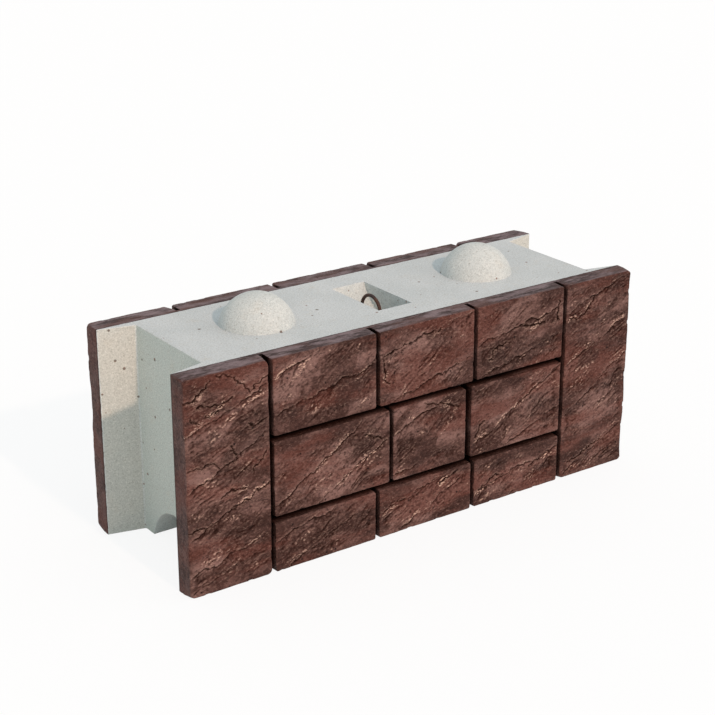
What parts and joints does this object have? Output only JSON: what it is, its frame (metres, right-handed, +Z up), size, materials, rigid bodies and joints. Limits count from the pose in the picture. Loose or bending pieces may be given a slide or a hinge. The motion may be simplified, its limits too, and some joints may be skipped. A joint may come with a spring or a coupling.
{
  "type": "concrete wall block",
  "caption": "Precast concrete block for free-standing and curved walls: stone-pattern faces, wings at the ends, domed knobs over a groove, and a lifting loop in a top pocket.",
  "frame": {"origin": "centre of the block's plan, on the bed that it stands on", "axes": "+X along the block's length, +Y from the front face to the back face, +Z up"},
  "size_m": [1.2, 0.41, 0.547],
  "materials": {
    "concrete": "cast grey concrete, smooth, with small air holes; both faces are stained dark brown",
    "stained_faces": "split-stone relief moulded into both faces and stained dark reddish brown",
    "loop_steel": "plain round steel bar with a dark brown skin of rust"
  },
  "bodies": {
    "root": {"wall_block": "concrete", "lifting_loop": "loop_steel"}
  },
  "joints": []
}
